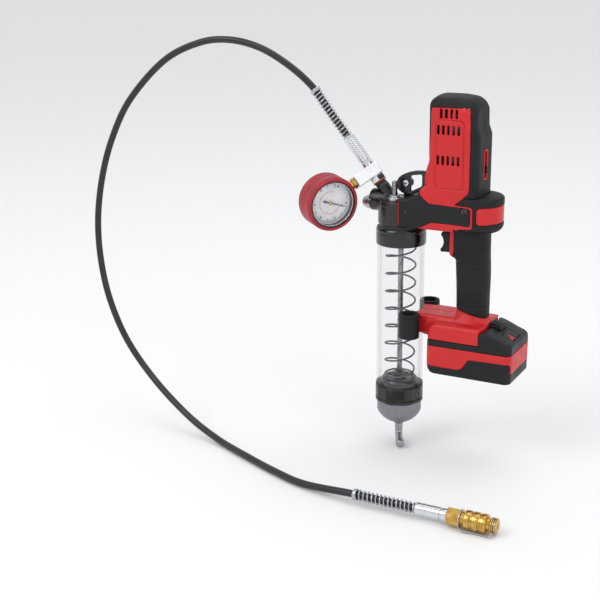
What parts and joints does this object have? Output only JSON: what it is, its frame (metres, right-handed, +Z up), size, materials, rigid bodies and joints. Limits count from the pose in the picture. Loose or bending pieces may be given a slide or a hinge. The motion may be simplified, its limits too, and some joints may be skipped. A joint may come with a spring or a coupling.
{
  "type": "cordless grease gun",
  "caption": "Upright cordless grease gun with a clear barrel, sprung follower, motor tower, grip with slide-on battery, dial gauge and a long stiff hose ending in a coupler.",
  "frame": {"origin": "centre of the hand grip, on the gun's middle plane", "axes": "+Z up along the barrel, +X from the barrel back through the grip, +Y to the gun's right-hand side"},
  "size_m": [0.6538, 0.2485, 0.5253],
  "materials": {
    "red_plastic": "moulded, satin",
    "black_rubber": "moulded soft-touch cover",
    "black_plastic": "moulded",
    "black_metal": "black paint on an aluminium casting",
    "steel": "turned and zinc plated",
    "chrome": "polished plating",
    "dark_steel": "drawn spring wire",
    "gear_steel": "cut gear steel",
    "grey_metal": "grey paint on a pressed cap",
    "brass": "turned",
    "copper": "wound copper",
    "clear_plastic": "clear polycarbonate",
    "clear_lens": "clear window",
    "red_rubber": "moulded",
    "dial_white": "printed dial",
    "hose_rubber": "smooth thermoplastic hose",
    "blue_wrap": "shrink sleeve on steel cells"
  },
  "bodies": {
    "gun": {"housing_left": "red_plastic", "housing_right": "red_plastic", "tower_cover": "black_rubber", "grip_cover": "black_rubber", "rear_bumper": "black_rubber", "rear_band": "red_plastic", "side_plates": "black_plastic", "housing_screws": "dark_steel", "trigger_switch": "black_plastic", "switch_frame": "red_plastic", "motor": "steel", "ring_gear": "gear_steel", "crank_bearing": "steel", "pump_head": "black_metal", "check_plug": "steel", "check_ball": "chrome", "check_spring": "dark_steel", "bleeder_seat": "chrome", "strap_screw": "steel", "barrel_collar": "black_metal", "barrel": "clear_plastic", "follower_spring": "dark_steel", "spring_seat": "black_plastic", "ring_nut": "black_plastic", "end_cap": "grey_metal", "holder_sockets": "black_plastic", "terminal_block": "black_plastic", "outlet_adapter": "black_metal", "hex_nipple": "chrome", "tee_block": "chrome", "gauge_stem": "brass", "gauge_case": "black_metal", "gauge_boot": "red_rubber", "gauge_dial": "dial_white", "gauge_lens": "clear_lens", "hose": "hose_rubber", "hose_fittings": "chrome", "spring_guards": "dark_steel", "coupler_body": "brass"},
    "trigger": {"trigger": "black_plastic"},
    "speed_slider": {"speed_slider": "black_plastic"},
    "motor_rotor": {"motor_rotor": "copper"},
    "planet_carrier": {"planet_carrier": "gear_steel"},
    "planet_1": {"planet_1": "gear_steel"},
    "planet_2": {"planet_2": "gear_steel"},
    "planet_3": {"planet_3": "gear_steel"},
    "pump_plunger": {"pump_plunger": "steel"},
    "bleeder_stem": {"bleeder_stem": "chrome"},
    "strap_ring": {"strap_ring": "black_metal"},
    "follower": {"follower": "black_plastic", "follower_rod": "steel", "rod_handle": "dark_steel"},
    "gauge_pointer": {"gauge_pointer": "black_metal"},
    "battery": {"battery_lower": "black_plastic", "battery_upper": "black_plastic", "battery_band": "red_plastic", "battery_cells": "blue_wrap"},
    "battery_latch": {"battery_latch": "black_plastic"},
    "coupler_sleeve": {"coupler_sleeve": "brass"},
    "dust_plug": {"dust_plug": "brass"}
  },
  "joints": [
    {"name": "trigger_pull", "type": "slide", "parent": "gun", "child": "trigger", "axis": [1, 0, 0], "range_m": [0, 0.007], "stiffness_N_per_m": 800, "springref_m": -0.004},
    {"name": "speed_switch", "type": "slide", "parent": "gun", "child": "speed_slider", "axis": [0, 0, 1], "range_m": [0, 0.01]},
    {"name": "motor_spin", "type": "hinge", "parent": "gun", "child": "motor_rotor", "pos_m": [-0.0235, 0, 0.12], "axis": [0, 0, 1], "continuous": true},
    {"name": "carrier_spin", "type": "hinge", "parent": "gun", "child": "planet_carrier", "pos_m": [-0.0235, 0, 0.12], "axis": [0, 0, 1], "continuous": true},
    {"name": "planet_1_spin", "type": "hinge", "parent": "planet_carrier", "child": "planet_1", "pos_m": [-0.0115, 0, 0.13], "axis": [0, 0, 1], "continuous": true},
    {"name": "planet_2_spin", "type": "hinge", "parent": "planet_carrier", "child": "planet_2", "pos_m": [-0.0295, 0.01039, 0.13], "axis": [0, 0, 1], "continuous": true},
    {"name": "planet_3_spin", "type": "hinge", "parent": "planet_carrier", "child": "planet_3", "pos_m": [-0.0295, -0.01039, 0.13], "axis": [0, 0, 1], "continuous": true},
    {"name": "plunger_stroke", "type": "slide", "parent": "gun", "child": "pump_plunger", "axis": [1, 0, 0], "range_m": [-0.005, 0.005]},
    {"name": "bleeder_press", "type": "slide", "parent": "gun", "child": "bleeder_stem", "axis": [0, 0, -1], "range_m": [0, 0.003], "stiffness_N_per_m": 1500, "springref_m": -0.002},
    {"name": "strap_ring_swing", "type": "hinge", "parent": "gun", "child": "strap_ring", "pos_m": [-0.091, 0, 0.1125], "axis": [0, -1, 0], "range_deg": [0, 90]},
    {"name": "rod_pull", "type": "slide", "parent": "gun", "child": "follower", "axis": [0, 0, -1], "range_m": [0, 0.14], "stiffness_N_per_m": 300, "springref_m": -0.06, "deforming": ["follower_spring"]},
    {"name": "gauge_needle", "type": "hinge", "parent": "gun", "child": "gauge_pointer", "pos_m": [-0.17804, -0.04808, 0.09051], "axis": [-0.7923, 0.6063, 0.0676], "range_deg": [0, 270], "stiffness_Nm_per_rad": 0.0005, "springref_deg": -11.46},
    {"name": "battery_slide", "type": "slide", "parent": "gun", "child": "battery", "axis": [1, 0, 0], "range_m": [0, 0.11]},
    {"name": "battery_release", "type": "slide", "parent": "battery", "child": "battery_latch", "axis": [0, 0, -1], "range_m": [0, 0.0025], "stiffness_N_per_m": 1500, "springref_m": -0.002},
    {"name": "coupler_release", "type": "slide", "parent": "gun", "child": "coupler_sleeve", "axis": [-1, 0, 0], "range_m": [0, 0.004], "stiffness_N_per_m": 800, "springref_m": -0.003},
    {"name": "dust_plug_pull", "type": "slide", "parent": "gun", "child": "dust_plug", "axis": [1, 0, 0], "range_m": [0, 0.016]}
  ],
  "couplings": [
    {"joint": "carrier_spin", "follows": "motor_spin", "ratio": 0.2},
    {"joint": "planet_1_spin", "follows": "motor_spin", "ratio": -0.53333},
    {"joint": "planet_2_spin", "follows": "motor_spin", "ratio": -0.53333},
    {"joint": "planet_3_spin", "follows": "motor_spin", "ratio": -0.53333}
  ]
}
